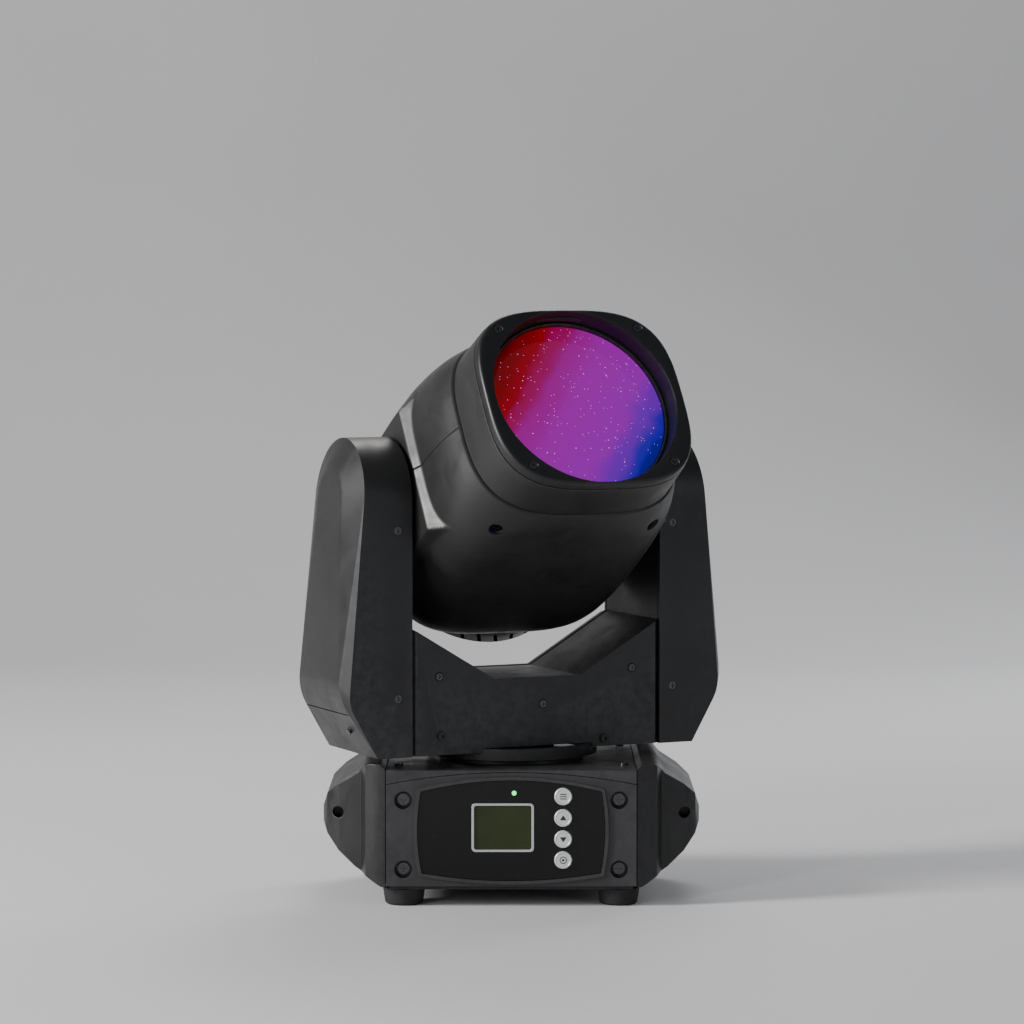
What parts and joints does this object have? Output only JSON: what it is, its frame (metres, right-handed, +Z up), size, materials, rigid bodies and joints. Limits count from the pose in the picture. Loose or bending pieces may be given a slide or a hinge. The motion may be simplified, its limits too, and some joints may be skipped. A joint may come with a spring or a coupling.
{
  "type": "moving head light",
  "caption": "Motorised stage light: a low base with display and buttons carries a panning U-shaped yoke, which holds a tilting round-nosed lamp head with a large recessed front lens.",
  "frame": {"origin": "on the pan axis, in the plane of the base plate's underside; the rubber feet reach 12 mm below it", "axes": "+Z up along the pan axis, -Y towards the display side, +Y towards the rear connectors, +X to the right seen from the display side"},
  "size_m": [0.3082, 0.2785, 0.4204],
  "materials": {
    "case_plastic": "fine-grained moulded plastic, satin",
    "black_plastic": "fine-grained moulded plastic",
    "steel_black": "powder coated, fine texture",
    "gloss_panel": "high gloss",
    "lcd_silver": "satin",
    "lcd_glass": "clear window over a dark green display",
    "green_led": "lit indicator",
    "circuit_board": "solder mask",
    "button_silver": "satin silver",
    "foot_rubber": "matt",
    "screw_steel": "black oxide",
    "zinc_steel": "zinc plated sheet",
    "socket_plastic": "moulded",
    "socket_metal": "black die casting",
    "fan_plastic": "moulded",
    "machined_alloy": "machined",
    "bearing_steel": "ground",
    "motor_black": "laminated body with black end caps",
    "belt_rubber": "toothed belt",
    "lens_glass": "clear polished",
    "lamp_brass": "plated",
    "filter_color": "dichroic filters"
  },
  "bodies": {
    "base": {"base_chassis": "steel_black", "base_top_deck": "case_plastic", "base_front_cover": "case_plastic", "base_rear_panel": "steel_black", "left_side_cover": "black_plastic", "right_side_cover": "black_plastic", "display_panel": "gloss_panel", "lcd_frame": "lcd_silver", "lcd_window": "lcd_glass", "status_light": "green_led", "display_board": "circuit_board", "rubber_feet": "foot_rubber", "base_screws": "screw_steel", "power_supply": "zinc_steel", "main_board": "circuit_board", "power_inlet": "socket_plastic", "dmx_sockets": "socket_metal", "fuse_holder": "socket_plastic", "base_fan_frame": "fan_plastic", "pan_post": "machined_alloy", "pan_pulley": "machined_alloy"},
    "yoke": {"yoke_frame": "steel_black", "pan_bearing": "bearing_steel", "left_arm_cover": "case_plastic", "right_arm_cover": "case_plastic", "crossbar_front_cover": "case_plastic", "crossbar_rear_cover": "case_plastic", "yoke_screws": "screw_steel", "pan_motor": "motor_black", "pan_belt": "belt_rubber", "tilt_motor": "motor_black", "tilt_belt": "belt_rubber", "tilt_bearings": "bearing_steel", "arm_driver_board": "circuit_board"},
    "head": {"head_frame": "zinc_steel", "tilt_pulley": "machined_alloy", "head_top_cover": "case_plastic", "head_bottom_cover": "case_plastic", "front_cap": "case_plastic", "front_bezel": "black_plastic", "head_screws": "screw_steel", "front_lens": "lens_glass", "rear_vent_cap": "case_plastic", "head_fan_frame": "fan_plastic", "heatsink": "machined_alloy", "lamp_module": "lamp_brass", "condenser_lens": "lens_glass", "wheel_motors": "motor_black"},
    "menu_button": {"menu_button": "button_silver"},
    "up_button": {"up_button": "button_silver"},
    "down_button": {"down_button": "button_silver"},
    "enter_button": {"enter_button": "button_silver"},
    "base_fan": {"base_fan_rotor": "fan_plastic"},
    "pan_drive": {"pan_motor_pulley": "machined_alloy"},
    "tilt_drive": {"tilt_motor_pulley": "machined_alloy"},
    "head_fan": {"head_fan_rotor": "fan_plastic"},
    "color_wheel": {"color_wheel": "filter_color"},
    "gobo_wheel": {"gobo_wheel": "zinc_steel"},
    "focus": {"focus_carriage": "fan_plastic", "focus_lens": "lens_glass"}
  },
  "joints": [
    {"name": "pan", "type": "hinge", "parent": "base", "child": "yoke", "pos_m": [0, 0, 0.094], "axis": [0, 0, 1], "range_deg": [-295, 245]},
    {"name": "tilt", "type": "hinge", "parent": "yoke", "child": "head", "pos_m": [0, 0, 0.273], "axis": [0.9063, 0.4226, 0], "range_deg": [-173, 57]},
    {"name": "pan_drive_spin", "type": "hinge", "parent": "yoke", "child": "pan_drive", "pos_m": [-0.05891, -0.02747, 0.109], "axis": [0, 0, 1], "range_deg": [-1000, 1200]},
    {"name": "tilt_drive_spin", "type": "hinge", "parent": "yoke", "child": "tilt_drive", "pos_m": [0.10332, 0.04818, 0.133], "axis": [0.9063, 0.4226, 0], "range_deg": [-520, 180]},
    {"name": "menu_press", "type": "slide", "parent": "base", "child": "menu_button", "axis": [0, 1, 0], "range_m": [0, 0.0008], "stiffness_N_per_m": 600, "springref_m": -0.0005},
    {"name": "up_press", "type": "slide", "parent": "base", "child": "up_button", "axis": [0, 1, 0], "range_m": [0, 0.0008], "stiffness_N_per_m": 600, "springref_m": -0.0005},
    {"name": "down_press", "type": "slide", "parent": "base", "child": "down_button", "axis": [0, 1, 0], "range_m": [0, 0.0008], "stiffness_N_per_m": 600, "springref_m": -0.0005},
    {"name": "enter_press", "type": "slide", "parent": "base", "child": "enter_button", "axis": [0, 1, 0], "range_m": [0, 0.0008], "stiffness_N_per_m": 600, "springref_m": -0.0005},
    {"name": "base_fan_spin", "type": "hinge", "parent": "base", "child": "base_fan", "pos_m": [0.042, 0.074, 0.042], "axis": [0, 1, 0], "continuous": true},
    {"name": "head_fan_spin", "type": "hinge", "parent": "head", "child": "head_fan", "pos_m": [-0.02688, 0.05764, 0.23326], "axis": [0.3584, -0.7686, 0.5299], "continuous": true},
    {"name": "color_wheel_spin", "type": "hinge", "parent": "head", "child": "color_wheel", "pos_m": [0.00349, -0.00749, 0.24279], "axis": [0.3584, -0.7686, 0.5299], "continuous": true},
    {"name": "gobo_wheel_spin", "type": "hinge", "parent": "head", "child": "gobo_wheel", "pos_m": [0.00994, -0.02133, 0.25233], "axis": [0.3584, -0.7686, 0.5299], "continuous": true},
    {"name": "focus_slide", "type": "slide", "parent": "head", "child": "focus", "axis": [0.3584, -0.7686, 0.5299], "range_m": [-0.008, 0.02]}
  ],
  "couplings": [
    {"joint": "pan_drive_spin", "follows": "pan", "ratio": -3.7778},
    {"joint": "tilt_drive_spin", "follows": "tilt", "ratio": 2.8889}
  ]
}
